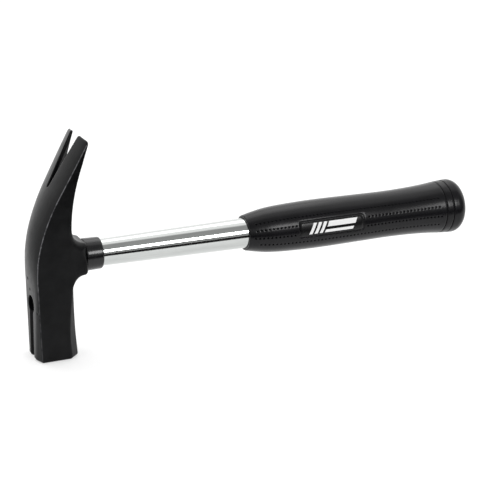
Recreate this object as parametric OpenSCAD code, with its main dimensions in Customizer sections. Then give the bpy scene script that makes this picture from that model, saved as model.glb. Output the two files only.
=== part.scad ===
// Roofing and carpentry claw hammer with a forged head, a drawn steel tube
// handle and a moulded grip.  Millimetres, +Z up.  The origin is the centre of
// the striking face, the claw points up and the handle runs along +X.

/* [Head] */
// Side of the square striking face
face_size = 28.8; // [26:0.2:31]
// Width of the bevel round the striking face
face_bevel = 1.2; // [0.5:0.1:2]
// Height of the claw tips above the striking face
head_height = 149; // [140:1:156]
// Height of the handle axis above the striking face
axis_height = 66.5; // [62:0.5:70]
// Full width of the claw at its tips
claw_width = 41.2; // [36:0.2:46]
// Lean of the straight part of the claw, in run per rise
claw_slope = 0.56; // [0.4:0.02:0.7]
// Height where the front of the head starts to bend back
bend_start = 54; // [50:1:58]
// Height where the bend runs out into the straight claw
bend_end = 114; // [108:1:118]
// Crown of the front face across the claw
crown_height = 3.8; // [0:0.2:5]
// Hollow of the rear face across the claw tips
hollow_depth = 2.6; // [0:0.2:3.2]

/* [Nail slot] */
// Height of the root of the nail slot
slot_root = 116.4; // [112:0.2:122]
// Width of the nail slot at its root
slot_root_width = 2.4; // [1.6:0.2:4]
// Width of the nail slot at the tips
slot_tip_width = 14.6; // [10:0.2:18]
// Width of the bevel on the handle side of the nail slot
slot_bevel = 4; // [0:0.5:5]

/* [Nail holder] */
// Diameter of the magnet pocket in the front of the head
pocket_d = 12.2; // [10:0.2:13]
// Height of the pocket centre above the striking face
pocket_height = 37.3; // [30:0.1:42]
// Depth of the pocket
pocket_depth = 5; // [4.5:0.5:7]
// Diameter of the magnet, let into the floor of the pocket
magnet_d = 10; // [8:0.2:11]
// Thickness of the magnet
magnet_thickness = 3; // [2:0.5:4]
// Width of the nail groove below the pocket
groove_width = 7; // [5:0.5:9]

/* [Handle tube] */
// Outer diameter of the tube in the head
tube_head_d = 18; // [16:0.2:20]
// Outer diameter of the tube in the grip
tube_grip_d = 21.2; // [20:0.2:22]
// Wall thickness of the tube
tube_wall = 1.5; // [1:0.1:2]
// Distance of the tube end in the grip from the origin
tube_end = 288; // [270:1:292]
// Length of the steel plug in the head end of the tube
plug_length = 32; // [20:1:40]

/* [Collar] */
// Distance of the end face of the head socket from the origin
socket_end = 22.1; // [20:0.1:24]
// Length of the collar
collar_length = 11.9; // [8:0.1:16]
// Diameter of the collar against the head
collar_d = 21.8; // [21:0.1:24]

/* [Grip] */
// Distance of the lip of the grip from the origin
grip_start = 137.6; // [130:0.2:150]
// Distance of the butt of the grip from the origin
grip_end = 307.6; // [302:0.2:312]
// Diameter of the grip at its swell
grip_d = 34; // [32:0.2:36]
// Diameter of the grip at its butt flare
butt_d = 38.8; // [37:0.2:40]
// Turn of the grip about the handle axis in degrees, raising the panel on its -Y side
grip_turn = 7; // [-10:1:10]
// Length of the label panel
panel_length = 51; // [40:1:60]
// Distance of the middle of the label panel from the origin
panel_middle = 198.2; // [190:0.2:206]
// Angle that the label panel spans round the grip
panel_angle = 44; // [30:1:50]
// Depth of the label panel below the swell
panel_depth = 0.8; // [0.5:0.1:1.2]

/* [Hidden] */
$fn = 96;
slip = 0.05;                       // clearance between pieces that slide together
half_face = face_size / 2;
pocket_floor = -half_face + 0.4 + pocket_depth;
tube_start = -4;
tube_inner_head = tube_head_d / 2 - tube_wall;
tube_inner_grip = tube_grip_d / 2 - tube_wall;
taper_start = socket_end + collar_length - 2;
taper_end = grip_start + 12;
panel_radius = grip_d / 2 - panel_depth;
label_thickness = 0.25;
label_margin = 1.2;
ring_groove_1 = grip_end - 17.6;
ring_groove_2 = grip_end - 12.1;
butt_round = 7.5;

function clamp01(t) = min(1, max(0, t));
function smooth(t) = let (u = clamp01(t)) u * u * (3 - 2 * u);
function bend(z, from, to, slope) =
    z < from ? 0
  : z < to ? slope * pow(z - from, 2) / (2 * (to - from))
  : slope * ((to - from) / 2 + z - to);

// Head outline at height z.  The front runs straight up the striking part,
// bends back over the eye and runs out straight to the tips.
chamfer_end = 70;
front_base = -half_face - 0.1;
back_low = 11.3;
back_bend = 90;
function half_width(z) = half_face + (claw_width / 2 - half_face) * smooth((z - 50) / 100);
function front_edge(z) = front_base + 0.8 * clamp01(z / 50)
                       + bend(z, bend_start, bend_end, claw_slope);
// Both faces keep a slight curve everywhere, so that no section has points in a line
slight = 0.04;
function crown(z) = slight + crown_height * smooth((z - 36) / 54);
function front_flat(z) = half_width(z) - 0.3 - (half_face - 7.8) * clamp01(1 - z / chamfer_end);
function front_chamfer(z) = 0.15 + 2.4 * clamp01(1 - z / chamfer_end);
function back_edge(z) = back_low + (half_face + 0.1 - back_low) * pow(clamp01(1 - z / 50), 1.2)
                      - 0.6 * smooth((z - 60) / 30)
                      + bend(z, back_bend, 128, 0.32);
function back_chamfer(z) = 0.3 + 6 * (1 - smooth((z - 10) / 55));
function back_hollow(z) = hollow_depth * smooth((z - 100) / 45) - slight;
FRONT_STEPS = 4;
function section(z, inset) =
    let (
        w = half_width(z) - inset,
        f = min(front_flat(z), w - 0.3),
        fe = front_edge(z) + inset,
        be = back_edge(z) - inset,
        c = back_chamfer(z),
        b = w - c
    )
    [
        for (i = [-FRONT_STEPS:FRONT_STEPS])
            [fe - crown(z) * (1 - pow(i / FRONT_STEPS, 2)), f * i / FRONT_STEPS, z],
        [fe + front_chamfer(z), w, z],
        [be - c, w, z],
        [be, b, z],
        [be - 0.75 * back_hollow(z), b / 2, z],
        [be - back_hollow(z), 0, z],
        [be - 0.75 * back_hollow(z), -b / 2, z],
        [be, -b, z],
        [be - c, -w, z],
        [fe + front_chamfer(z), -w, z]
    ];

// Solid through a list of sections that all have the same number of points, each
// running clockwise as seen from the last section
module loft(rings) {
    n = len(rings[0]);
    last = len(rings) - 1;
    polyhedron(
        points = [for (ring = rings) each ring],
        faces = concat(
            [[for (i = [n - 1:-1:0]) i]],
            [for (k = [0:last - 1]) for (i = [0:n - 1]) let (j = (i + 1) % n)
                each [[k * n + i, (k + 1) * n + j, (k + 1) * n + i],
                      [k * n + i, k * n + j, (k + 1) * n + j]]],
            [[for (i = [0:n - 1]) last * n + i]]
        ),
        convexity = 6
    );
}

module along_handle() {
    translate([0, 0, axis_height]) rotate([0, 90, 0]) children();
}

// Body of revolution about the handle axis, from points [distance, radius]
module turned(outline) {
    along_handle() rotate_extrude() polygon([for (p = outline) [p[1], p[0]]]);
}

module head_body() {
    heights = concat([face_bevel, 12, 24, 36], [for (z = [44:8:140]) z], [146, head_height]);
    loft(concat([section(0, face_bevel)], [for (z = heights) section(z, 0)]));
}

// Socket boss, filleted into the back of the head above and below
boss_start = 2;
boss_half_width = 13;
boss_top = 10.8;
boss_bottom = 10.2;
fillet_top = 13;
fillet_bottom = 9;
function fillet(x, radius) = let (d = min(radius, max(0, x - back_low)))
    radius - sqrt(max(0, radius * radius - pow(radius - d, 2)));
function boss_section(x, inset) =
    let (
        w = boss_half_width + 0.8 * clamp01((socket_end - x) / 12) - inset,
        t = axis_height + boss_top + fillet(x, fillet_top) - inset,
        b = axis_height - boss_bottom - fillet(x, fillet_bottom) + inset
    )
    [
        [x, -w, b + 2.4], [x, -w, t - 4.2], [x, -w + 1.6, t - 1.8], [x, -w + 5, t],
        [x, w - 5, t], [x, w - 1.6, t - 1.8], [x, w, t - 4.2], [x, w, b + 2.4],
        [x, w - 2.4, b], [x, -w + 2.4, b]
    ];
module boss() {
    loft([for (x = [boss_start, back_low + 0.6, 12.8, 14, 15.6, 17.6, 19.6, socket_end - 0.8])
              boss_section(x, 0),
          boss_section(socket_end, 0.8)]);
}

// Nail slot: a straight V through the claw, bevelled on the handle side
module slot_outline(extra) {
    top = (head_height + 6 - slot_root) * sqrt(1 + claw_slope * claw_slope);
    growth = (slot_tip_width - slot_root_width) / 2 / (head_height - slot_root)
           / sqrt(1 + claw_slope * claw_slope);
    half_root = slot_root_width / 2 + extra;
    half_top = half_root + growth * top;
    polygon([[-half_root, -extra], [half_root, -extra], [half_top, top], [-half_top, top]]);
}
// Frame with its origin at the slot root on the crown of the claw, X through the claw
module claw_frame() {
    translate([front_edge(slot_root) - crown_height, 0, slot_root])
        rotate([0, atan(claw_slope), 0]) rotate([90, 0, 90]) children();
}
module nail_slot() {
    reach = 40;
    thin = 0.01;
    land = 2.4;
    claw_frame() {
        translate([0, 0, -reach / 2]) linear_extrude(reach) slot_outline(0);
        translate([0, 0, -reach / 2]) cylinder(d = slot_root_width, h = reach, $fn = 32);
        hull() {
            translate([0, 0, land]) linear_extrude(thin) slot_outline(0);
            translate([0, 0, land + 3 * slot_bevel]) linear_extrude(thin) slot_outline(2 * slot_bevel);
        }
    }
}

module nail_holder() {
    translate([pocket_floor - 20, 0, pocket_height]) rotate([0, 90, 0]) cylinder(d = pocket_d, h = 20);
    translate([pocket_floor - 1, 0, pocket_height]) rotate([0, 90, 0])
        cylinder(d = magnet_d + 2 * slip, h = magnet_thickness + 1);
    translate([-half_face, 0, -1]) cylinder(d = groove_width, h = pocket_height);
}

module head() {
    color("#2f3031") difference() {
        union() {
            head_body();
            boss();
        }
        nail_slot();
        nail_holder();
        turned([[tube_start - slip, 0], [tube_start - slip, tube_head_d / 2 + slip],
                [socket_end + 1, tube_head_d / 2 + slip], [socket_end + 1, 0]]);
    }
}

module nail_magnet() {
    color("#8c8f92") translate([pocket_floor, 0, pocket_height]) rotate([0, 90, 0])
        cylinder(d = magnet_d, h = magnet_thickness);
}

module neck_collar() {
    e = 0.8;
    bore = tube_head_d / 2 + 0.15;
    r1 = collar_d / 2;
    r2 = r1 - 0.3;
    x1 = socket_end;
    x2 = socket_end + collar_length;
    color("#1b1b1c") turned([
        [x1, bore], [x1, r1 - e], [x1 + e, r1], [x2 - 1.4 * e, r2],
        [x2 - 0.4 * e, r2 - 0.5 * e], [x2, r2 - 1.4 * e], [x2, bore]
    ]);
}

module handle_tube() {
    r1 = tube_head_d / 2;
    r2 = tube_grip_d / 2;
    color("#d9dcdd") turned([
        [tube_start, r1], [taper_start, r1], [taper_end, r2], [tube_end, r2],
        [tube_end, r2 - tube_wall], [taper_end, r2 - tube_wall],
        [taper_start, r1 - tube_wall], [tube_start, r1 - tube_wall]
    ]);
}

module head_plug() {
    r = tube_inner_head;
    color("#9a9c9e") turned([
        [tube_start, 0], [tube_start, r], [tube_start + plug_length - 3, r],
        [tube_start + plug_length, r - 1.5], [tube_start + plug_length, 0]
    ]);
}

// Grip outline: radii at even stations, joined by a smooth curve
grip_neck_r = 12.4;
grip_waist_r = grip_d / 2 - 0.5;
grip_knots = [
    [grip_start + 1.2, grip_neck_r], [grip_start + 7, 13.7], [grip_start + 16, 15.3],
    [grip_start + 28, 16.3], [grip_start + 52, grip_d / 2], [grip_start + 90, grip_d / 2 - 0.3],
    [grip_start + 110, grip_waist_r], [grip_start + 128, grip_waist_r + 0.4],
    [grip_start + 142, butt_d / 2 - 1.7], [grip_start + 155, butt_d / 2 - 0.5],
    [grip_end - butt_round, butt_d / 2]
];
function catmull(a, b, c, d, t) =
    b + 0.5 * t * (c - a + t * (2 * a - 5 * b + 4 * c - d + t * (3 * (b - c) + d - a)));
function grip_curve(steps) = [
    for (k = [0:len(grip_knots) - 2]) for (s = [0:steps - 1])
        let (m = len(grip_knots) - 1)
        catmull(grip_knots[max(0, k - 1)], grip_knots[k], grip_knots[k + 1],
                grip_knots[min(m, k + 2)], s / steps),
    grip_knots[len(grip_knots) - 1]
];

module grip_solid() {
    turned(concat(
        [[grip_start, 0], [grip_start, grip_neck_r - 1.1]],
        grip_curve(3),
        [for (a = [15:15:75]) [grip_end - butt_round + butt_round * sin(a),
                               butt_d / 2 - butt_round + butt_round * cos(a)]],
        [[grip_end, butt_d / 2 - butt_round], [grip_end, 0]]
    ));
}

// Ring sector about the handle axis, facing -Y for side = -1 and +Y for side = 1
module sector(side, length, span, inner, outer) {
    far = 40;
    along_handle() rotate([0, 0, -grip_turn]) translate([0, 0, panel_middle - length / 2])
        intersection() {
            difference() {
                cylinder(r = outer, h = length);
                translate([0, 0, -1]) cylinder(r = inner, h = length + 2);
            }
            linear_extrude(length) polygon([
                [0, 0],
                [-far * sin(span / 2), side * far * cos(span / 2)],
                [far * sin(span / 2), side * far * cos(span / 2)]
            ]);
        }
}

module ring_groove(x) {
    turned([[x - 0.5, butt_d / 2 + 2], [x - 0.5, butt_d / 2 - 0.9], [x + 0.5, butt_d / 2 - 0.9],
            [x + 0.5, butt_d / 2 + 2]]);
}

module grip() {
    color("#1f1f20") difference() {
        grip_solid();
        turned([[grip_start - 1, 0], [grip_start - 1, tube_grip_d / 2 + slip],
                [tube_end + slip, tube_grip_d / 2 + slip], [tube_end + slip, 0]]);
        for (side = [-1, 1]) sector(side, panel_length, panel_angle, panel_radius, grip_d);
        ring_groove(ring_groove_1);
        ring_groove(ring_groove_2);
    }
}

module butt_plug() {
    r = tube_inner_grip;
    length = 12;
    color("#3a3a3c") turned([
        [tube_end - length, 0], [tube_end - length, r - 1], [tube_end - length + 1, r],
        [tube_end, r], [tube_end, 0]
    ]);
}

module grip_label(side) {
    color("#b9bcbe") sector(side, panel_length - 2 * label_margin,
                            panel_angle - 2 * label_margin / panel_radius * 57.3,
                            panel_radius, panel_radius + label_thickness);
}

module left_label() {
    grip_label(-1);
}

module right_label() {
    grip_label(1);
}

head();
nail_magnet();
neck_collar();
handle_tube();
head_plug();
grip();
butt_plug();
left_label();
right_label();
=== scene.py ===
"""Looks of the roofing claw hammer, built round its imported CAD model.

Shapes are worked out in millimetres in the CAD frame: the origin is the centre of the
striking face, the claw points up along Z and the handle runs along +X.
"""
import math

import bpy
import numpy as np
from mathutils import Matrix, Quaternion, Vector


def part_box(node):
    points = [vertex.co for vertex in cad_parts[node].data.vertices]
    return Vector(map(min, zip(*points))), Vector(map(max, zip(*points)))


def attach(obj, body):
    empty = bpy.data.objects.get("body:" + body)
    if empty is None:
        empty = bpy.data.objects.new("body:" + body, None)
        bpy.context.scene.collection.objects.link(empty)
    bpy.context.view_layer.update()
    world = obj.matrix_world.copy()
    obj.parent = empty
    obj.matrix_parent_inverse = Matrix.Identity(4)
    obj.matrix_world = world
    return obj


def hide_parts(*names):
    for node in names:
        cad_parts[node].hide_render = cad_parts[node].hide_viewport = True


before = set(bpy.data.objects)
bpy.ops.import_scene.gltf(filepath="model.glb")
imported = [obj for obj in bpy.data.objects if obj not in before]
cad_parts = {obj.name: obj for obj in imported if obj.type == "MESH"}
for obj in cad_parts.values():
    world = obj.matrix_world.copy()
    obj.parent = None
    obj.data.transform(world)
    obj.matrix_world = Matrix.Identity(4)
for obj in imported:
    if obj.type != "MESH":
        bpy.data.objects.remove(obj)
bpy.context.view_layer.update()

MM = 0.001


def node_box(node):
    """Lowest and highest corner of a CAD node, in millimetres."""
    low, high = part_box(node)
    return low / MM, high / MM


# ---------------------------------------------------------------- sizes from the frame
head_low, head_high = node_box("head")
magnet_low, magnet_high = node_box("nail_magnet")
collar_low, collar_high = node_box("neck_collar")
tube_low, tube_high = node_box("handle_tube")
grip_low, grip_high = node_box("grip")
label_low, label_high = node_box("left_label")

AXIS_HEIGHT = (tube_low.z + tube_high.z) / 2
HEAD_TOP = head_high.z
TIP_HALF_WIDTH = head_high.y
SOCKET_END = collar_low.x
POCKET_FLOOR = magnet_low.x
POCKET_HEIGHT = (magnet_low.z + magnet_high.z) / 2
MAGNET_RADIUS = (magnet_high.z - magnet_low.z) / 2
TUBE_START = tube_low.x
TUBE_END = tube_high.x
TUBE_GRIP_RADIUS = tube_high.y
GRIP_START = grip_low.x
GRIP_END = grip_high.x
BUTT_RADIUS = grip_high.y

# ---------------------------------------------------------------- sizes of head and tube
HALF_FACE = 14.4
FACE_BEVEL = 1.2
# Front: its chamfers narrow from the striking face up, and it leans back into the claw
FRONT_BASE = -HALF_FACE - 0.1
FRONT_LEAN = 0.8
CHAMFER_WIDTH = 6.6
CHAMFER_DEPTH = 2.4
CHAMFER_TOP = 70
CROWN_HEIGHT = 3.8
CLAW_SLOPE = 0.56
CLAW_ANGLE = math.atan(CLAW_SLOPE)
CLAW_BEND = (54, 114)
# Back: it flares out to the striking face, and is chamfered there and hollow on the claw
BACK_LOW = 11.3
FLARE_TOP = 50
BACK_CHAMFER = 6
BACK_SLOPE = 0.32
BACK_BEND = (90, 128)
BACK_HOLLOW = 2.6
# Socket boss, measured up and down from the axis of the handle
BOSS_ABOVE = 10.8
BOSS_BELOW = 10.2
FILLET_ABOVE = 13
FILLET_BELOW = 9
# V slot: height of its root, half widths, thickness of its front land and drop of the tips
SLOT_ROOT = 116.4
SLOT_ROOT_HALF = 1.2
SLOT_TIP_HALF = 7.3
SLOT_LAND = 2.4
SLOT_BEVEL_SLOPE = 2 / 3
SLOT_BEVEL_COSINE = 0.83
TIP_DROP = 1.5
# Nail holder
POCKET_RADIUS = 6.1
GROOVE_RADIUS = 3.5
# Tube
TUBE_HEAD_RADIUS = 9.0
TUBE_WALL = 1.5
TUBE_EDGE = 0.2
CLEARANCE = 0.05


# ---------------------------------------------------------------- distance fields
def rise(t, start, end):
    """0 up to start, 1 beyond end and a straight line between."""
    return np.clip((t - start) / (end - start), 0, 1)


def ease(t, start, end):
    """The same rise with both its ends eased."""
    u = rise(t, start, end)
    return u * u * (3 - 2 * u)


def mix(a, b, t):
    """a where t is 0, b where it is 1."""
    return a + (b - a) * t


def bend(z, start, end, slope):
    """Offset of a line that runs straight up to start and leans at slope beyond end."""
    curved = slope * (z - start) ** 2 / (2 * (end - start))
    straight = slope * ((end - start) / 2 + z - end)
    return np.where(z < start, 0, np.where(z < end, curved, straight))


def both(a, b, radius):
    """Inside a and b, with the edge between them rounded."""
    rounded = np.hypot(np.maximum(a + radius, 0), np.maximum(b + radius, 0))
    return np.minimum(np.maximum(a, b), -radius) + rounded


def either(a, b, radius):
    """Inside a or b, with a fillet between them."""
    return -both(-a, -b, radius)


# ---------------------------------------------------------------- head
def half_width(z):
    """Half the width across the cheeks, which grows towards the claw tips."""
    return mix(HALF_FACE, TIP_HALF_WIDTH, ease(z, 50, 150))


def front_edge(z):
    """Where the crowned front meets its side edges."""
    return FRONT_BASE + FRONT_LEAN * rise(z, 0, 50) + bend(z, *CLAW_BEND, CLAW_SLOPE)


def front_distance(x, side, z):
    """Crowned front face with its two shallow chamfers on the striking part."""
    low = 1 - rise(z, 0, CHAMFER_TOP)
    edge = front_edge(z)
    width = 0.3 + CHAMFER_WIDTH * low
    depth = 0.15 + CHAMFER_DEPTH * low
    flat = half_width(z) - width
    crown = CROWN_HEIGHT * ease(z, 36, 90)
    lean = CLAW_SLOPE * rise(z, *CLAW_BEND)
    face = (edge - crown * (1 - (side / flat) ** 2) - x) / np.sqrt(1 + lean ** 2)
    chamfer = ((side - flat) * depth - (x - edge) * width) / np.hypot(depth, width)
    return both(face, chamfer, 0.6)


def back_distance(x, side, z):
    """Rear face with its tapering corner chamfers, filleted into the socket boss."""
    half = half_width(z)
    edge = mix(BACK_LOW, -FRONT_BASE, (1 - rise(z, 0, FLARE_TOP)) ** 1.2)
    edge = edge - 0.6 * ease(z, 60, 90) + bend(z, *BACK_BEND, BACK_SLOPE)
    hollow = BACK_HOLLOW * ease(z, 100, 145)
    lean = BACK_SLOPE * rise(z, *BACK_BEND)
    face = (x - edge + hollow * (1 - (side / half) ** 2)) / np.sqrt(1 + lean ** 2)
    cut = 0.3 + BACK_CHAMFER * (1 - ease(z, 10, 65))
    chamfer = (x + side - (edge + half - cut)) / math.sqrt(2)
    back = both(face, chamfer, 0.8)
    above_axis = z - AXIS_HEIGHT
    top = either(back, above_axis - BOSS_ABOVE, FILLET_ABOVE)
    bottom = either(back, -above_axis - BOSS_BELOW, FILLET_BELOW)
    boss_end = x - SOCKET_END - np.maximum(above_axis - 30, 0)
    return np.maximum(both(top, boss_end, 1.2), both(bottom, boss_end, 2.6))


def side_distance(x, side, z):
    """Cheeks, drawn in a little towards the end of the boss."""
    half = half_width(z)
    near_boss = 1 - ease(np.abs(z - AXIS_HEIGHT), 14, 26)
    return side - half + (half - 13) * ease(x, 9, 22) * near_boss


def back_corner_radius(z):
    """Large on the shoulder above the boss, medium below it and small on the claw."""
    above_axis = z - AXIS_HEIGHT
    upper = 0.8 + 4.2 * (1 - ease(above_axis, 13, 25))
    lower = 0.8 + 1.6 * (1 - ease(-above_axis, 9, 19))
    return mix(lower, upper, ease(above_axis, -4, 4))


def slot_distance(x, side, z):
    """V slot with a narrow land in front and a bevel that opens towards the handle."""
    growth = (SLOT_TIP_HALF - SLOT_ROOT_HALF) / (HEAD_TOP - SLOT_ROOT) * math.cos(CLAW_ANGLE)
    root_x = front_edge(SLOT_ROOT) - CROWN_HEIGHT
    dx, dz = x - root_x, z - SLOT_ROOT
    along = dx * math.sin(CLAW_ANGLE) + dz * math.cos(CLAW_ANGLE)
    through = dx * math.cos(CLAW_ANGLE) - dz * math.sin(CLAW_ANGLE)
    walls = np.where(along < 0, np.hypot(side, along), side - growth * along) - SLOT_ROOT_HALF
    spread = (through - SLOT_LAND) * SLOT_BEVEL_SLOPE
    bevel_side = side - SLOT_ROOT_HALF - spread - growth * np.maximum(along + spread, 0)
    bevel = both(bevel_side, -(along + spread), 1.2) * SLOT_BEVEL_COSINE
    return np.minimum(walls, bevel)


def tip_distance(side, z):
    """Claw tips that drop a little towards their outer corners."""
    outwards = (side - SLOT_TIP_HALF) / (TIP_HALF_WIDTH - SLOT_TIP_HALF)
    return z - (HEAD_TOP - 0.1 - TIP_DROP * outwards)


def nail_holder_distance(x, y, z):
    """Magnet pocket, the recess of the magnet and the nail groove below the pocket."""
    from_centre = np.hypot(y, z - POCKET_HEIGHT)
    pocket = np.maximum(from_centre - POCKET_RADIUS, x - POCKET_FLOOR)
    recess = np.maximum(from_centre - MAGNET_RADIUS - CLEARANCE, x - magnet_high.x)
    groove = np.maximum(np.hypot(x + HALF_FACE, y) - GROOVE_RADIUS, z - POCKET_HEIGHT)
    return np.minimum(np.minimum(pocket, recess), groove)


# Small dents in the lacquered front: place, radius of the ball that made it, and depth
DENTS = [((-14.3, 2.7, 54.5), 1.3, 0.45), ((-14.0, 0.3, 47.7), 1.2, 0.4),
         ((-13.3, -12.2, 34.6), 1.1, 0.35)]


def head_distance(points):
    """Signed distance to the surface of the head, negative inside the steel."""
    x, y, z = points[..., 0], points[..., 1], points[..., 2]
    side = np.abs(y)
    cheek = side_distance(x, side, z)
    body = both(front_distance(x, side, z), cheek, 0.7)
    body = both(body, back_distance(x, side, z), 0.5)
    body = both(body, both(cheek, back_distance(x, side, z), back_corner_radius(z)), 0.1)
    face_bevel = (body - z + FACE_BEVEL) / math.sqrt(2)
    body = both(both(body, face_bevel, 0.5), -z, 0.4)
    tip = tip_distance(side, z)
    body = both(body, both(cheek, tip, 3), 1.0)
    body = both(body, -slot_distance(x, side, z), 0.5)
    body = both(body, -nail_holder_distance(x, y, z), 0.35)
    from_axis = np.hypot(y, z - AXIS_HEIGHT)
    bore = np.maximum(from_axis - TUBE_HEAD_RADIUS - CLEARANCE, TUBE_START - CLEARANCE - x)
    body = both(body, -bore, 0.2)
    for centre, radius, depth in DENTS:
        outward = Vector((centre[0], centre[1] * 0.2, 0)).normalized() * (radius - depth)
        ball = np.sqrt((x - centre[0] - outward.x) ** 2 + (y - centre[1] - outward.y) ** 2
                       + (z - centre[2]) ** 2) - radius
        body = both(body, -ball, 0.3)
    return body


def edge_wear_and_highlight(points):
    """Light line along the corners, partly paint rubbed bare in use and partly a painted highlight of
    the edges: 1 on the claw, 0.3 near the striking face, and 0 a millimetre away from a corner."""
    x, y, z = points[..., 0], points[..., 1], points[..., 2]
    side = np.abs(y)
    front, cheek = front_distance(x, side, z), side_distance(x, side, z)
    boss_end = np.where(z < AXIS_HEIGHT + 30, x - SOCKET_END, -9)
    nearest = np.minimum(np.hypot(front, cheek), np.hypot(cheek, boss_end))
    return (1 - ease(nearest, 0.25, 0.75)) * mix(0.3, 1, ease(z, 38, 58))


# ---------------------------------------------------------------- meshing
def net_points(field, cell):
    """One point for each grid cell that the surface crosses: the mean of its crossings."""
    total = np.zeros(cell.shape)
    count = np.zeros(len(cell))
    for axis in range(3):
        for b in (0, 1):
            for c in (0, 1):
                start = cell.copy()
                start[:, (axis + 1) % 3] += b
                start[:, (axis + 2) % 3] += c
                end = start.copy()
                end[:, axis] += 1
                f0, f1 = field[tuple(start.T)], field[tuple(end.T)]
                cross = (f0 < 0) != (f1 < 0)
                place = start.astype(float)
                place[:, axis] += np.where(cross, f0 / np.where(cross, f0 - f1, 1), 0)
                total += place * cross[:, None]
                count += cross
    return total / count[:, None]


def net_faces(inside, index):
    """One quad for each grid edge that the surface crosses."""
    quads = []
    for axis in range(3):
        first = np.moveaxis(inside, axis, 0)[:-1]
        second = np.moveaxis(inside, axis, 0)[1:]
        crossed = np.stack(np.nonzero(first != second), 1)
        leaving = first[tuple(crossed.T)]
        numbers = np.moveaxis(index, axis, 0)
        i, j, k = crossed.T
        quad = np.stack([numbers[i, j - 1, k - 1], numbers[i, j, k - 1],
                         numbers[i, j, k], numbers[i, j - 1, k]], 1)
        if axis == 1:
            leaving = ~leaving
        quads.append(np.where(leaving[:, None], quad, quad[:, ::-1]))
    return np.concatenate(quads)


def gradient(distance, points):
    """Gradient of a distance field by central differences."""
    reach = 0.02
    slope = np.empty(points.shape)
    for axis in range(3):
        shift = np.zeros(3)
        shift[axis] = reach
        slope[:, axis] = (distance(points + shift) - distance(points - shift)) / (2 * reach)
    return slope


def skin(distance, low, high, step):
    """Quad mesh of the zero surface of a distance field within a box."""
    axes = [np.arange(low[a] - 2 * step, high[a] + 3 * step, step) for a in range(3)]
    grid = np.stack(np.meshgrid(*axes, indexing="ij"), -1)
    field = np.concatenate([distance(part) for part in np.array_split(grid, 12)])
    inside = field < 0
    corners = sum(inside[i:i - 1 or None, j:j - 1 or None, k:k - 1 or None].astype(int)
                  for i in (0, 1) for j in (0, 1) for k in (0, 1))
    cell = np.stack(np.nonzero((corners > 0) & (corners < 8)), 1)
    index = np.full(corners.shape, -1)
    index[tuple(cell.T)] = np.arange(len(cell))
    origin = np.array([a[0] for a in axes])
    points = origin + step * net_points(field, cell)
    for _ in range(4):
        slope = gradient(distance, points)
        move = slope * (distance(points) / np.maximum((slope ** 2).sum(1), 0.2))[:, None]
        length = np.maximum(np.linalg.norm(move, axis=1, keepdims=True), 1e-9)
        points = points - move * np.minimum(1, 0.4 * step / length)
    return points, net_faces(inside, index)


def add_piece(name, points, faces, material, node):
    """A smooth-shaded piece from points in millimetres, which stands for a CAD node."""
    mesh = bpy.data.meshes.new(name)
    mesh.from_pydata((np.asarray(points) * MM).tolist(), [], [list(f) for f in faces])
    mesh.validate()
    mesh.shade_smooth()
    mesh.materials.append(material)
    piece = bpy.data.objects.new(name, mesh)
    bpy.context.scene.collection.objects.link(piece)
    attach(piece, "root")
    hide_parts(node)
    return piece


class Wrap:
    """A mesh drawn round a line along X in (distance, angle, radius), welded where its
    points meet. The line is at the given height."""

    def __init__(self, height=AXIS_HEIGHT):
        self.height = height
        self.numbers = {}
        self.points = []
        self.faces = []

    def point(self, x, angle, radius):
        turn = 0 if radius == 0 else angle % 360
        key = (round(x, 5), round(turn, 5) % 360, round(radius, 5))
        if key not in self.numbers:
            self.numbers[key] = len(self.points)
            a = math.radians(turn)
            self.points.append((x, radius * math.cos(a), self.height + radius * math.sin(a)))
        return self.numbers[key]

    def face(self, *corners):
        ring = [self.point(*corner) for corner in corners]
        ring = [n for i, n in enumerate(ring) if n != ring[i - 1]]
        if len(ring) > 2:
            self.faces.append(ring)

    def bridge(self, outer, inner):
        """Quads between two closed loops that have the same number of corners."""
        for i in range(len(outer)):
            self.face(outer[i], outer[i - 1], inner[i - 1], inner[i])


def turned(outline, columns, height=AXIS_HEIGHT):
    """Points and faces of a body of revolution about a line along X. The outline is a
    closed loop of (distance, radius), clockwise with distance to the right."""
    wrap = Wrap(height)
    angles = np.linspace(0, -360, columns, endpoint=False)
    loops = [[(x, angle, radius) for angle in angles] for x, radius in outline]
    for i, loop in enumerate(loops):
        wrap.bridge(loops[i - 1], loop)
    return wrap.points, wrap.faces


def arc(x, r, radius, start, end, steps):
    """Points on an arc about (x, r), with angles in degrees from the +X direction."""
    turn = np.radians(np.linspace(start, end, steps + 1))
    return [(x + radius * math.cos(t), r + radius * math.sin(t)) for t in turn]


# ---------------------------------------------------------------- grip
# Pattern: dimples a pitch apart, on a grid whose steps are half of that
PITCH = 2.825
HALF_PITCH = PITCH / 2
PATTERN_START = 140.0
PATTERN_STEPS = 105
DIMPLE_RADIUS = 0.66
DIMPLE_DEPTH = 1.3
# Half the angle that a row of dimples takes of the grid
BAND = 3.6
# The grip is turned about the handle, so the middles of its two sides lie off level
GRIP_TURN = 7.0
SIDES = (180 - GRIP_TURN, 360 - GRIP_TURN)
PLAIN_SPANS = 24
# Label panel: the steps and the angle that it takes of the grid, and its own size
WINDOW = (23, 60)
WINDOW_ANGLE = 25.5
WINDOW_COLUMNS = (0, 4, 17, 21, WINDOW_ANGLE)
PANEL_MIDDLE = (label_low.x + label_high.x) / 2
PANEL_HALF_LENGTH = 25.5
PANEL_HALF_ANGLE = 22.0
LABEL_THICKNESS = 0.25
PANEL_RADIUS = -label_low.y - LABEL_THICKNESS
PANEL_CORNER = 2.4
LABEL_MARGIN = 1.2
# Rows of dimples: angle from the middle of the side, and runs from a first to a last step
ROWS = [
    (31.9, [(4, 102)]),
    (11.0, [(1, 21), (61, 103)]),
    (-11.0, [(2, 22), (62, 102)]),
    (-31.9, [(2, 102)]),
]
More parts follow.
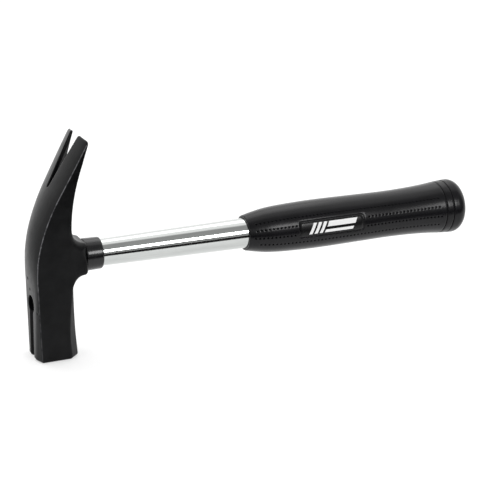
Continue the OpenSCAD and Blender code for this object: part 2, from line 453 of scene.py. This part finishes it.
# Outline
NECK_RADIUS = 12.4
SWELL = 17.0
BUTT_ROUND = 7.5
RING_GROOVES = (GRIP_END - 17.6, GRIP_END - 12.1)
GRIP_KNOTS = [
    (GRIP_START + 1.2, NECK_RADIUS), (GRIP_START + 7, 13.7), (GRIP_START + 16, 15.3),
    (GRIP_START + 28, 16.3), (GRIP_START + 52, SWELL), (GRIP_START + 90, SWELL - 0.3),
    (GRIP_START + 110, SWELL - 0.5), (GRIP_START + 128, SWELL - 0.1),
    (GRIP_START + 142, BUTT_RADIUS - 1.7), (GRIP_START + 155, BUTT_RADIUS - 0.5),
    (GRIP_END - BUTT_ROUND, BUTT_RADIUS),
]


def grip_radius(x):
    """Outline of the grip, a smooth curve through its knots."""
    last = len(GRIP_KNOTS) - 1
    k = max([i for i in range(last) if GRIP_KNOTS[i][0] <= x] or [0])
    a, b, c, d = (GRIP_KNOTS[min(max(i, 0), last)] for i in (k - 1, k, k + 1, k + 2))
    t = (x - b[0]) / (c[0] - b[0])
    before = (c[1] - a[1]) / (c[0] - a[0]) * (c[0] - b[0])
    after = (d[1] - b[1]) / (d[0] - b[0]) * (c[0] - b[0])
    return ((2 * t ** 3 - 3 * t ** 2 + 1) * b[1] + (t ** 3 - 2 * t ** 2 + t) * before
            + (3 * t ** 2 - 2 * t ** 3) * c[1] + (t ** 3 - t ** 2) * after)


def station(step):
    """Distance along the handle of a step of the pattern."""
    return PATTERN_START + step * HALF_PITCH


def side_columns():
    """Angles of the grid columns across one side, from its middle."""
    columns = list(WINDOW_COLUMNS)
    for angle, _ in ROWS[:2]:
        columns += [angle - BAND, angle, angle + BAND]
    return sorted({c * s for c in columns for s in (-1, 1)})


def all_columns():
    """Angles of the grid columns round the grip: two patterned sides and plain spans."""
    columns = []
    edge = side_columns()[-1]
    for middle in SIDES:
        columns += [middle + c for c in side_columns()]
        columns += list(np.linspace(middle + edge, middle + 180 - edge, PLAIN_SPANS + 1)[1:-1])
    return columns


def draw_dimple(wrap, x, middle):
    """One dimple in its own cell of the pattern, with eight corners round the cell."""
    radius = grip_radius(x)
    corners = [(1, 0), (1, 1), (0, 1), (-1, 1), (-1, 0), (-1, -1), (0, -1), (1, -1)]
    cell = [(x + u * HALF_PITCH, middle + v * BAND, grip_radius(x + u * HALF_PITCH))
            for u, v in corners]

    def circle(share, depth):
        size = DIMPLE_RADIUS * share
        ring = []
        for i in range(16):
            t = i * math.pi / 8
            dx = size * math.cos(t)
            ring.append((x + dx, middle + math.degrees(size * math.sin(t) / radius),
                         grip_radius(x + dx) - DIMPLE_DEPTH * depth))
        return ring

    rim = circle(1.15, 0)
    for i in range(8):
        j = (i + 1) % 8
        wrap.face(cell[j], cell[i], rim[2 * i], rim[2 * i + 1], rim[2 * j])
    for share, depth in [(1.06, 0.02), (0.98, 0.14), (0.9, 0.6), (0.72, 0.9), (0.4, 1)]:
        inner = circle(share, depth)
        wrap.bridge(rim, inner)
        rim = inner
    wrap.face(*reversed(rim))


def panel_loop(outer, middle, inset, radius=None):
    """Rounded rectangle of the label panel, one point for each point of the outer loop, at
    the given radius or else on the grip's own surface."""
    core_x = PANEL_HALF_LENGTH - PANEL_CORNER
    core_a = math.radians(PANEL_HALF_ANGLE) * PANEL_RADIUS - PANEL_CORNER
    loop = []
    for x, angle, _ in outer:
        u = x - PANEL_MIDDLE
        v = math.radians(angle - middle) * PANEL_RADIUS
        cu, cv = min(max(u, -core_x), core_x), min(max(v, -core_a), core_a)
        far = math.hypot(u - cu, v - cv)
        size = (PANEL_CORNER - inset) / far
        px = PANEL_MIDDLE + cu + (u - cu) * size
        pa = middle + math.degrees((cv + (v - cv) * size) / PANEL_RADIUS)
        loop.append((px, pa, grip_radius(px) if radius is None else radius))
    return loop


def narrowed(loop, middle, share):
    """The loop drawn in towards a line along the middle of the panel."""
    return [(mix(PANEL_MIDDLE, x, 0.7 + 0.3 * share), mix(middle, angle, share), radius)
            for x, angle, radius in loop]


def window_loop(middle):
    """Corners of the grid round the label panel, in order."""
    first, last = (station(step) for step in WINDOW)
    across = [middle + c for c in side_columns() if abs(c) <= WINDOW_ANGLE]
    along = [station(step) for step in range(WINDOW[0], WINDOW[1] + 1)]
    loop = [(x, across[-1]) for x in reversed(along[1:])]
    loop += [(first, a) for a in reversed(across[1:])]
    loop += [(x, across[0]) for x in along[:-1]]
    loop += [(last, a) for a in across[:-1]]
    return [(x, a, grip_radius(x)) for x, a in loop]


def draw_panel(wrap, middle):
    """Label recess: a rounded rim, a short wall and a floor that closes on a line along
    its middle."""
    outer = window_loop(middle)
    loops = [outer]
    for inset, drop in [(-0.12, 0), (0.02, 0.05), (0.14, 0.25)]:
        loops.append([(x, a, r - drop) for x, a, r in panel_loop(outer, middle, inset)])
    for inset, height in [(0.22, 0.1), (0.38, 0), (1.6, 0)]:
        loops.append(panel_loop(outer, middle, inset, PANEL_RADIUS + height))
    floor_edge = loops[-1]
    loops += [narrowed(floor_edge, middle, share) for share in (0.6, 0.25, 0)]
    for first, second in zip(loops, loops[1:]):
        wrap.bridge(first, second)


def dimple_steps(runs):
    """Steps that have a dimple: every second one of each run."""
    return {step for first, last in runs for step in range(first, last + 1, 2)}


def draw_side(wrap, middle):
    """Pattern of dimples and the label panel on one side of the grip."""
    for offset, runs in ROWS:
        for step in sorted(dimple_steps(runs)):
            draw_dimple(wrap, station(step), middle + offset)
    draw_panel(wrap, middle)


def plain_cell(step, low, high):
    """True if the grid cell from a step to the next, between two columns measured from
    the middle of a side, belongs to no dimple and not to the label panel."""
    centre = (low + high) / 2
    if abs(centre) < WINDOW_ANGLE and WINDOW[0] <= step < WINDOW[1]:
        return False
    for offset, runs in ROWS:
        if abs(centre - offset) < BAND:
            taken = dimple_steps(runs)
            return step not in taken and step + 1 not in taken
    return True


def groove_outline(x):
    """Half-round ring groove near the butt."""
    radius = grip_radius(x)
    return [(x + dx, radius - depth) for dx, depth in
            [(-0.75, 0), (-0.55, 0.08), (-0.42, 0.45), (-0.25, 0.8), (0, 0.9),
             (0.25, 0.8), (0.42, 0.45), (0.55, 0.08), (0.75, 0)]]


def grip_rings():
    """Outline before and after the pattern, from the bore's end round the lip to the
    pattern, and from the pattern round the butt to its middle."""
    bore = TUBE_GRIP_RADIUS + CLEARANCE
    bore_end = TUBE_END + CLEARANCE
    lip = arc(GRIP_START + 1.1, NECK_RADIUS - 1.15, 1.1, 180, 90, 5)
    before = [(bore_end, 0), (bore_end, 4), (bore_end, 8), (bore_end, bore)]
    before += [(x, bore) for x in np.linspace(bore_end, GRIP_START, 14)[1:]] + lip
    before.append((GRIP_START + 1.8, grip_radius(GRIP_START + 1.8)))
    first, second = RING_GROOVES
    after = groove_outline(first)
    after += [(x, grip_radius(x)) for x in np.linspace(first + 1.6, second - 1.4, 3)]
    after += groove_outline(second)
    after += [(x, grip_radius(x)) for x in np.linspace(second + 1.6, GRIP_END - BUTT_ROUND - 0.8, 3)]
    after += arc(GRIP_END - BUTT_ROUND, BUTT_RADIUS - BUTT_ROUND, BUTT_ROUND, 90, 0, 14)
    after += [(GRIP_END, r) for r in (9, 6, 3, 0)]
    return before, after


def make_grip(material):
    """Rings and columns round the whole grip, with the cells of its dimples and panels
    left out and drawn in their own way."""
    wrap = Wrap()
    columns = all_columns()
    before, after = grip_rings()
    pattern = [(station(step), grip_radius(station(step))) for step in range(PATTERN_STEPS + 1)]
    rings = before + pattern + after
    for row in range(len(rings) - 1):
        (x0, r0), (x1, r1) = rings[row], rings[row + 1]
        step = row - len(before)
        for i, low in enumerate(columns):
            high = columns[(i + 1) % len(columns)]
            span = (high - low) % 360
            middle = min(SIDES, key=lambda m: abs((low - m + 180) % 360 - 180))
            offset = (low - middle + 180) % 360 - 180
            if 0 <= step < PATTERN_STEPS and not plain_cell(step, offset, offset + span):
                continue
            wrap.face((x0, low, r0), (x0, low + span, r0), (x1, low + span, r1), (x1, low, r1))
    for middle in SIDES:
        draw_side(wrap, middle)
    return add_piece("moulded_grip", wrap.points, wrap.faces, material, "grip")


def make_label(name, node, middle, material):
    """Thin curved label with rounded corners that lies in its panel."""
    wrap = Wrap()
    outer = window_loop(middle)
    top = PANEL_RADIUS + LABEL_THICKNESS
    under = panel_loop(outer, middle, LABEL_MARGIN, PANEL_RADIUS + 0.01)
    edge = panel_loop(outer, middle, LABEL_MARGIN, top - 0.06)
    printed = panel_loop(outer, middle, LABEL_MARGIN + 0.06, top)
    shares = (0, 0.25, 0.5, 0.75)
    loops = [narrowed(under, middle, share) for share in shares]
    loops += [under, edge, printed]
    loops += [narrowed(printed, middle, share) for share in reversed(shares)]
    for first, second in zip(loops, loops[1:]):
        wrap.bridge(first, second)
    return add_piece(name, wrap.points, wrap.faces, material, node)


# ---------------------------------------------------------------- head and turned pieces
def make_head(material):
    points, faces = skin(head_distance, head_low, head_high, 0.5)
    head = add_piece("forged_head", points, faces, material, "head")
    # Mask of the light corner line: partly wear, partly a painted highlight of the edges
    wear_and_highlight = head.data.attributes.new("wear_and_highlight", "FLOAT", "POINT")
    wear_and_highlight.data.foreach_set("value", edge_wear_and_highlight(points))
    return head


def make_tube(material):
    """Hollow tube that tapers between the collar and the lip of the grip."""
    start, end = SOCKET_END + 9.9, GRIP_START + 12
    inside_head, inside_grip = TUBE_HEAD_RADIUS - TUBE_WALL, TUBE_GRIP_RADIUS - TUBE_WALL
    outline = [(TUBE_START, TUBE_HEAD_RADIUS - TUBE_EDGE), (TUBE_START + TUBE_EDGE, TUBE_HEAD_RADIUS)]
    outline += [(mix(start, end, t), mix(TUBE_HEAD_RADIUS, TUBE_GRIP_RADIUS, t))
                for t in np.linspace(0, 1, 12)]
    outline += [(TUBE_END - TUBE_EDGE, TUBE_GRIP_RADIUS), (TUBE_END, TUBE_GRIP_RADIUS - TUBE_EDGE)]
    outline += [(TUBE_END, inside_grip), (end, inside_grip)]
    outline += [(start, inside_head), (TUBE_START, inside_head)]
    points, faces = turned(outline, 128)
    return add_piece("chromed_tube", points, faces, material, "handle_tube")


def make_collar(material):
    """Plastic ring with rounded rims, a little narrower towards the tube."""
    bore = TUBE_HEAD_RADIUS + 0.15
    near, far = collar_low.x, collar_high.x
    radius = collar_high.y
    taper = 0.3
    outline = [(near, bore), (near, radius - 0.8)]
    outline += arc(near + 0.7, radius - 0.75, 0.7, 170, 95, 5)
    outline += [(mix(near, far, t), radius - taper * t) for t in (0.15, 0.3, 0.5, 0.7, 0.85)]
    outline += arc(far - 1, radius - 1 - taper, 1, 85, 0, 6)
    outline.append((far, bore))
    points, faces = turned(outline, 128)
    return add_piece("socket_collar", points, faces, material, "neck_collar")


def make_magnet(material):
    """Disc magnet with a small chamfer and a shallow centre dimple."""
    front, back = magnet_low.x + 0.02, magnet_high.x
    dimple = [(front + 0.25, 0), (front + 0.2, 0.7), (front, 1.1)]
    rim = [(front, MAGNET_RADIUS - 0.4), (front + 0.12, MAGNET_RADIUS - 0.12)]
    side = [(front + 0.4, MAGNET_RADIUS), (back, MAGNET_RADIUS), (back, 0)]
    points, faces = turned(dimple + rim + side, 64, POCKET_HEIGHT)
    return add_piece("disc_magnet", points, faces, material, "nail_magnet")


# ---------------------------------------------------------------- materials
class Nodes:
    """Short calls for the nodes that the finishes and the world share."""

    def __init__(self, tree):
        self.tree = tree

    def link(self, source, target):
        self.tree.links.new(source, target)

    def ramp(self, source, *stops):
        """Colour ramp with (position, colour or grey level) stops."""
        node = self.tree.nodes.new("ShaderNodeValToRGB")
        while len(node.color_ramp.elements) < len(stops):
            node.color_ramp.elements.new(0.5)
        for element, (position, colour) in zip(node.color_ramp.elements, stops):
            element.position = position
            element.color = (*colour, 1) if isinstance(colour, tuple) else (colour,) * 3 + (1,)
        self.link(source, node.inputs["Fac"])
        return node.outputs["Color"]

    def blend(self, factor, first, second):
        """Colour that turns from the first, a socket, to the second as factor grows."""
        node = self.tree.nodes.new("ShaderNodeMix")
        node.data_type = "RGBA"
        self.link(factor, node.inputs["Factor"])
        self.link(first, node.inputs[6])
        node.inputs[7].default_value = (*second, 1)
        return node.outputs[2]


class Paint(Nodes):
    """A Principled material, with the nodes that set its colour, roughness and bump."""

    def __init__(self, name, roughness, metallic=0.0, specular=0.5):
        self.material = bpy.data.materials.new(name)
        self.material.use_nodes = True
        super().__init__(self.material.node_tree)
        self.shader = self.tree.nodes["Principled BSDF"]
        self.shader.inputs["Roughness"].default_value = roughness
        self.shader.inputs["Metallic"].default_value = metallic
        self.shader.inputs["Specular IOR Level"].default_value = specular
        self.place = self.tree.nodes.new("ShaderNodeTexCoord").outputs["Object"]

    def stretched(self, scale):
        """Place scaled along each axis, which draws noise out where the scale is small."""
        node = self.tree.nodes.new("ShaderNodeMapping")
        node.inputs["Scale"].default_value = scale
        self.link(self.place, node.inputs["Vector"])
        return node.outputs["Vector"]

    def noise(self, size, detail=3.0, place=None):
        """Noise whose features are about size metres across."""
        node = self.tree.nodes.new("ShaderNodeTexNoise")
        node.inputs["Scale"].default_value = 1 / size
        node.inputs["Detail"].default_value = detail
        self.link(place or self.place, node.inputs["Vector"])
        return node.outputs["Fac"]

    def math(self, operation, a, b=0.0):
        """Math node on two values, each a number or a socket."""
        node = self.tree.nodes.new("ShaderNodeMath")
        node.operation = operation
        for socket, value in zip(node.inputs, (a, b)):
            if isinstance(value, (int, float)):
                socket.default_value = value
            else:
                self.link(value, socket)
        return node.outputs["Value"]

    def colour(self, source):
        self.link(source, self.shader.inputs["Base Color"])

    def roughness(self, source, low, high):
        """Roughness that follows source, a value from 0 to 1, from low to high."""
        node = self.tree.nodes.new("ShaderNodeMapRange")
        node.inputs["To Min"].default_value = low
        node.inputs["To Max"].default_value = high
        self.link(source, node.inputs["Value"])
        self.link(node.outputs["Result"], self.shader.inputs["Roughness"])

    def bump(self, source, height):
        """Bump of the given height in metres."""
        node = self.tree.nodes.new("ShaderNodeBump")
        node.inputs["Distance"].default_value = height
        node.inputs["Strength"].default_value = 1
        self.link(source, node.inputs["Height"])
        self.link(node.outputs["Normal"], self.shader.inputs["Normal"])


def head_lacquer():
    """Black lacquer over forged steel, with a broken light line along its corners that is partly
    rubbed-through wear and partly a painted highlight of the edges.
    """
    paint = Paint("head_lacquer", 0.3, specular=0.13)
    cloud = paint.noise(0.009, 4)
    grain = paint.noise(0.0007, 3)
    brushed = paint.noise(0.0016, 3, paint.stretched((0.12, 1, 1)))
    lacquer = paint.ramp(cloud, (0.3, (0.0012, 0.0013, 0.0016)), (0.7, (0.005, 0.0052, 0.0056)))
    # Corner mask of the light line, partly wear and partly a painted highlight of the edges
    wear_and_highlight = paint.tree.nodes.new("ShaderNodeAttribute")
    wear_and_highlight.attribute_name = "wear_and_highlight"
    broken = paint.ramp(paint.noise(0.003, 5), (0.36, 0.25), (0.62, 1.0))
    rubbed_and_highlit = paint.math("MULTIPLY", wear_and_highlight.outputs["Fac"], broken)
    # The light grey along the corners is partly bare steel from wear and partly a painted highlight
    paint.colour(paint.blend(rubbed_and_highlit, lacquer, (0.38, 0.38, 0.4)))
    paint.roughness(paint.noise(0.004, 5), 0.22, 0.42)
    relief = paint.math("ADD", paint.math("MULTIPLY", cloud, 3), paint.math("ADD", grain, brushed))
    paint.bump(relief, 0.000035)
    return paint.material


def magnet_nickel():
    paint = Paint("magnet_nickel", 0.3, metallic=1)
    paint.colour(paint.ramp(paint.noise(0.0015), (0.35, (0.3, 0.3, 0.31)), (0.65, (0.52, 0.52, 0.53))))
    paint.roughness(paint.noise(0.0008), 0.2, 0.42)
    return paint.material


def collar_plastic():
    paint = Paint("collar_plastic", 0.2, specular=0.4)
    patches = paint.noise(0.003)
    paint.colour(paint.ramp(patches, (0.3, (0.004, 0.004, 0.0045)), (0.7, (0.007, 0.007, 0.0075))))
    paint.roughness(paint.noise(0.002), 0.14, 0.24)
    paint.bump(paint.noise(0.002, 2), 0.000006)
    return paint.material


def tube_chrome():
    paint = Paint("tube_chrome", 0.12, metallic=1)
    lines = paint.noise(0.0012, 4, paint.stretched((0.05, 1, 1)))
    paint.colour(paint.ramp(lines, (0.3, (0.53, 0.545, 0.535)), (0.7, (0.585, 0.6, 0.59))))
    paint.roughness(lines, 0.07, 0.12)
    paint.bump(lines, 0.000002)
    return paint.material


def plug_steel():
    paint = Paint("plug_steel", 0.35, metallic=1)
    rings = paint.noise(0.0006, 2, paint.stretched((4, 1, 1)))
    paint.colour(paint.ramp(rings, (0.3, (0.45, 0.45, 0.46)), (0.7, (0.6, 0.6, 0.61))))
    paint.roughness(rings, 0.28, 0.42)
    return paint.material


def grip_vinyl():
    paint = Paint("grip_vinyl", 0.3, specular=0.24)
    fine = paint.noise(0.0005, 3)
    broad = paint.noise(0.012, 3)
    paint.colour(paint.ramp(broad, (0.3, (0.002, 0.0019, 0.0026)), (0.7, (0.0042, 0.004, 0.0052))))
    paint.roughness(paint.math("MULTIPLY", paint.math("ADD", fine, broad), 0.5), 0.2, 0.3)
    paint.bump(fine, 0.000012)
    return paint.material


def plug_plastic():
    paint = Paint("plug_plastic", 0.5)
    paint.colour(paint.ramp(paint.noise(0.004), (0.3, (0.03, 0.03, 0.033)), (0.7, (0.05, 0.05, 0.055))))
    paint.roughness(paint.noise(0.001), 0.45, 0.6)
    return paint.material


def label_foil(name, height):
    """Black foil printed with three slanted stripes and a plain double bar. The sizes are
    millimetres from the middle of the label, which is at the given height."""
    top, slant, stripe_pitch, stripe_width = 3.8, 0.5, 4.0, 2.4
    stripes_span, bars_span = (-17, -5), (-4, 18)
    upper_bar, lower_bar = (0.2, top), (-top, -1.8)
    paint = Paint(name, 0.4, specular=0.3)
    split = paint.tree.nodes.new("ShaderNodeSeparateXYZ")
    paint.link(paint.place, split.inputs["Vector"])
    x = paint.math("DIVIDE", paint.math("SUBTRACT", split.outputs["X"], PANEL_MIDDLE * MM), MM)
    v = paint.math("DIVIDE", paint.math("SUBTRACT", split.outputs["Z"], height * MM), MM)

    def within(value, span):
        low, high = span
        return paint.math("MULTIPLY", paint.math("GREATER_THAN", value, low),
                          paint.math("LESS_THAN", value, high))

    slanted = paint.math("SUBTRACT", x, paint.math("MULTIPLY", v, slant))
    stripe = paint.math("LESS_THAN", paint.math("FLOORED_MODULO", slanted, stripe_pitch), stripe_width)
    field = paint.math("MULTIPLY", within(slanted, stripes_span), within(v, (-top, top)))
    stripes = paint.math("MULTIPLY", stripe, field)
    either_bar = paint.math("MAXIMUM", within(v, upper_bar), within(v, lower_bar))
    bars = paint.math("MULTIPLY", within(slanted, bars_span), either_bar)
    printed = paint.math("MAXIMUM", stripes, bars)
    paint.colour(paint.ramp(printed, (0, (0.0015, 0.0015, 0.0018)), (1, (0.75, 0.75, 0.75))))
    paint.roughness(paint.noise(0.001), 0.22, 0.34)
    paint.bump(paint.noise(0.0006), 0.000006)
    return paint.material


# ---------------------------------------------------------------- stage
def make_camera():
    """Long lens beside the hammer, above it and ahead of its front face. Its place was
    fitted to the view in the photograph."""
    data = bpy.data.cameras.new("camera")
    data.lens = 108.4
    data.sensor_width = 36
    data.clip_start, data.clip_end = 0.05, 50
    camera = bpy.data.objects.new("camera", data)
    camera.location = (-0.2564, -0.8806, 0.3776)
    target = Vector((0.1391, 0.0, 0.0576))
    camera.rotation_mode = "QUATERNION"
    roll = Quaternion((0, 0, 1), math.radians(0.14))
    camera.rotation_quaternion = (target - camera.location).to_track_quat("-Z", "Y") @ roll
    bpy.context.scene.collection.objects.link(camera)
    bpy.context.scene.camera = camera


def matte(name, grey):
    """Matte paint of one grey level."""
    paint = Paint(name, 1.0, specular=0.0)
    paint.shader.inputs["Base Color"].default_value = (grey, grey, grey, 1)
    return paint


def level_card(name, low, high, height, paint):
    """Level rectangle between two corners (x, y) at a height."""
    mesh = bpy.data.meshes.new(name)
    corners = [(low[0], low[1], 0), (high[0], low[1], 0), (high[0], high[1], 0), (low[0], high[1], 0)]
    mesh.from_pydata(corners, [], [(0, 1, 2, 3)])
    mesh.materials.append(paint.material)
    card = bpy.data.objects.new(name, mesh)
    card.location.z = height
    bpy.context.scene.collection.objects.link(card)
    return card


def make_floor():
    """Plain floor just under the striking face, which glows a little so that it is white."""
    paint = matte("floor_white", 0.55)
    paint.shader.inputs["Emission Color"].default_value = (1, 1, 1, 1)
    paint.shader.inputs["Emission Strength"].default_value = 0.5
    floor = level_card("floor", (-6, -6), (6, 6), -0.0002, paint)


def add_softbox(name, place, aim, width, height, radiance):
    """Rectangular area light with the given radiance."""
    data = bpy.data.lights.new(name, "AREA")
    data.shape = "RECTANGLE"
    data.size, data.size_y = width, height
    data.energy = radiance * math.pi * width * height
    light = bpy.data.objects.new(name, data)
    light.location = place
    light.rotation_mode = "QUATERNION"
    light.rotation_quaternion = (Vector(aim) - Vector(place)).to_track_quat("-Z", "Y")
    bpy.context.scene.collection.objects.link(light)


def make_world():
    """White behind the object and grey in front of it, darkest a little above the horizon."""
    world = bpy.data.worlds.new("studio")
    bpy.context.scene.world = world
    world.use_nodes = True
    nodes = Nodes(world.node_tree)
    background = nodes.tree.nodes["Background"]
    place = nodes.tree.nodes.new("ShaderNodeTexCoord")
    split = nodes.tree.nodes.new("ShaderNodeSeparateXYZ")
    nodes.link(place.outputs["Generated"], split.inputs["Vector"])
    seen = nodes.tree.nodes.new("ShaderNodeLightPath").outputs["Is Camera Ray"]
    studio_white, backdrop_white = (1.3,) * 3, (1.1,) * 3

    def from_unit(source):
        """A part of a direction, from -1 to 1, as 0 to 1."""
        node = nodes.tree.nodes.new("ShaderNodeMapRange")
        node.inputs["From Min"].default_value = -1
        nodes.link(source, node.inputs["Value"])
        return node.outputs["Result"]

    behind = nodes.ramp(from_unit(split.outputs["Y"]), (0.375, 0), (0.46, 1))
    front = nodes.ramp(from_unit(split.outputs["Z"]), (0.5, 0.5), (0.56, 0.3), (0.66, 0.44), (1, 0.44))
    studio = nodes.blend(behind, front, studio_white)
    nodes.link(nodes.blend(seen, studio, backdrop_white), background.inputs["Color"])
    background.inputs["Strength"].default_value = 1


def add_flag():
    """Black card in front of the hammer, which only reflections see. It draws the dark
    line along the chrome."""
    flag = level_card("flag", (-2, -3), (3, -0.185), 0.001, matte("flag_black", 0.01))
    flag.visible_camera = False
    flag.visible_diffuse = False
    flag.visible_shadow = False


def make_lights():
    make_world()
    add_softbox("front_softbox", place=(0.62, -1.5, 0.74), aim=(0.15, 0, 0.06),
                width=0.6, height=0.5, radiance=11)
    add_softbox("left_softbox", place=(-1.5, -0.62, 0.66), aim=(0, 0, 0.1),
                width=0.5, height=0.5, radiance=4)
    add_softbox("top_softbox", place=(0.1, 0.9, 1.6), aim=(0.1, 0, 0.07),
                width=2.0, height=0.9, radiance=1.2)
    add_flag()


# ---------------------------------------------------------------- the scene
bpy.context.scene.view_settings.view_transform = "Standard"
make_camera()
make_floor()
make_lights()

make_head(head_lacquer())
make_tube(tube_chrome())
make_collar(collar_plastic())
make_magnet(magnet_nickel())
make_grip(grip_vinyl())
label_rise = PANEL_RADIUS * math.sin(math.radians(GRIP_TURN))
for name, node, middle, height in [("near_label", "left_label", SIDES[0], AXIS_HEIGHT + label_rise),
                                   ("far_label", "right_label", SIDES[1], AXIS_HEIGHT - label_rise)]:
    make_label(name, node, middle, label_foil(name, height))
for node, finish, slot_name in [("head_plug", plug_steel(), "plug_steel"),
                                ("butt_plug", plug_plastic(), "plug_plastic")]:
    cad_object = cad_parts[node]
    cad_object.data.materials.clear()
    cad_object.data.materials.append(finish)
